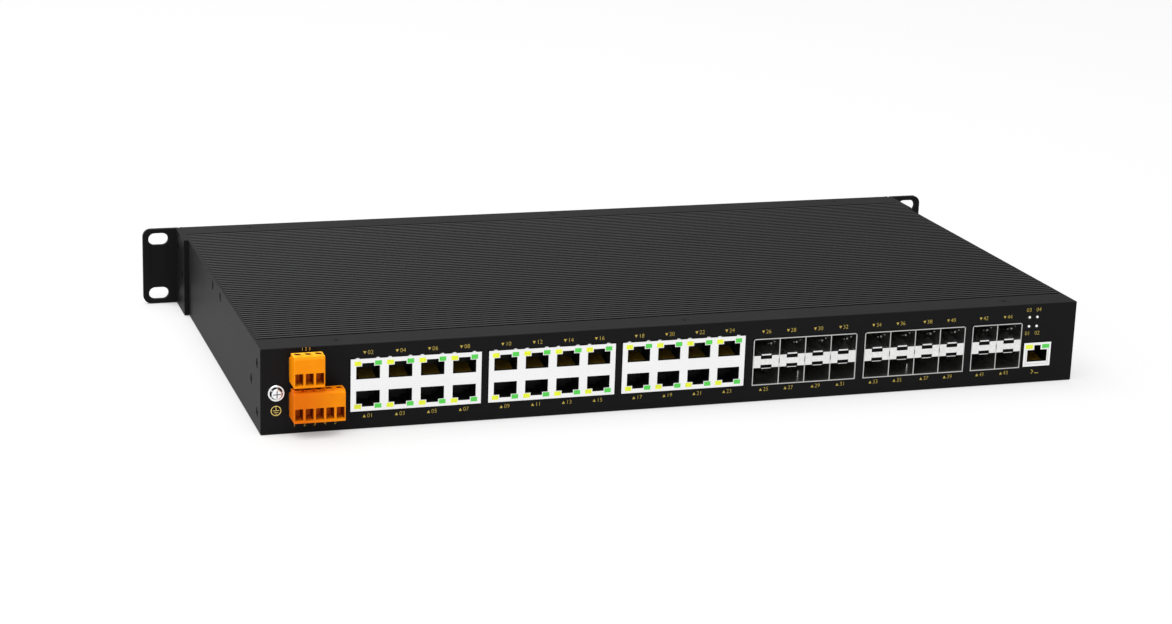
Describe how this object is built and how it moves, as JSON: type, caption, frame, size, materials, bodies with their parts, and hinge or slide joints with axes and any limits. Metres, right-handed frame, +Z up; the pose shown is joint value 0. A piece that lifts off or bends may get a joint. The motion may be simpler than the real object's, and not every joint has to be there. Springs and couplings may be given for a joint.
{
  "type": "rack-mount ethernet switch",
  "caption": "Rack-mount ethernet switch in a flat black case with a ribbed lid, stacked copper jacks, module cages, a console jack and pluggable terminals.",
  "frame": {"origin": "centre of the case's underside", "axes": "+X to the right as seen from the port panel, +Y from the port panel to the rack ears, +Z up"},
  "size_m": [0.4826, 0.257, 0.0436],
  "materials": {
    "case_paint": "fine-grain matt black powder coat on folded steel sheet",
    "lid_anodised": "satin black anodised aluminium extrusion",
    "screw_black": "black zinc plated steel",
    "earth_steel": "bright zinc plated steel",
    "plug_orange": "moulded orange polyamide, light satin",
    "clamp_steel": "zinc plated steel",
    "pin_tin": "tinned copper alloy",
    "shield_nickel": "bright nickel plated sheet",
    "housing_black": "moulded black thermoplastic",
    "contact_gold": "gold plated spring wire",
    "lens_yellow": "tinted clear lens, yellow",
    "lens_green": "tinted clear lens, green",
    "lens_white": "milky clear light pipe",
    "cage_tin": "tin plated sheet",
    "board_green": "glass-fibre board under green solder mask",
    "standoff_steel": "zinc plated steel",
    "chip_black": "moulded black epoxy",
    "pad_grey": "soft grey silicone gap pad",
    "spreader_aluminium": "milled aluminium",
    "brick_black": "potted black case",
    "can_sleeve": "black shrink sleeve on an aluminium can",
    "header_black": "moulded black polyamide"
  },
  "bodies": {
    "root": {"base_tray": "case_paint", "top_cover": "lid_anodised", "port_panel": "case_paint", "rear_panel": "case_paint", "left_rack_ear": "case_paint", "right_rack_ear": "case_paint", "cover_screws": "screw_black", "side_screws": "screw_black", "ear_screws": "screw_black", "earth_screw": "earth_steel", "earth_washer": "earth_steel", "earth_nut": "earth_steel", "relay_plug": "plug_orange", "relay_clamp_screws": "clamp_steel", "relay_wire_clamps": "clamp_steel", "power_plug": "plug_orange", "power_clamp_screws": "clamp_steel", "power_wire_clamps": "clamp_steel", "relay_header": "header_black", "relay_pins": "pin_tin", "power_header": "header_black", "power_pins": "pin_tin", "terminal_board": "board_green", "jack_lights_yellow": "lens_yellow", "jack_lights_green": "lens_green", "console_shield": "shield_nickel", "console_housing": "housing_black", "console_contacts": "contact_gold", "status_lights": "lens_white", "main_board": "board_green", "board_standoffs": "standoff_steel", "switch_chip": "chip_black", "thermal_pad": "pad_grey", "heat_spreader": "spreader_aluminium", "port_chips": "chip_black", "power_module": "brick_black", "storage_capacitors": "can_sleeve", "jack_shield_1": "shield_nickel", "jack_housing_1": "housing_black", "jack_contacts_1": "contact_gold", "module_cage_1": "cage_tin", "cage_dividers_1": "cage_tin", "cage_webs_1": "cage_tin", "module_sockets_1": "housing_black", "jack_shield_2": "shield_nickel", "jack_housing_2": "housing_black", "jack_contacts_2": "contact_gold", "module_cage_2": "cage_tin", "cage_dividers_2": "cage_tin", "cage_webs_2": "cage_tin", "module_sockets_2": "housing_black", "jack_shield_3": "shield_nickel", "jack_housing_3": "housing_black", "jack_contacts_3": "contact_gold", "module_cage_3": "cage_tin", "cage_dividers_3": "cage_tin", "cage_webs_3": "cage_tin", "module_sockets_3": "housing_black"}
  },
  "joints": []
}
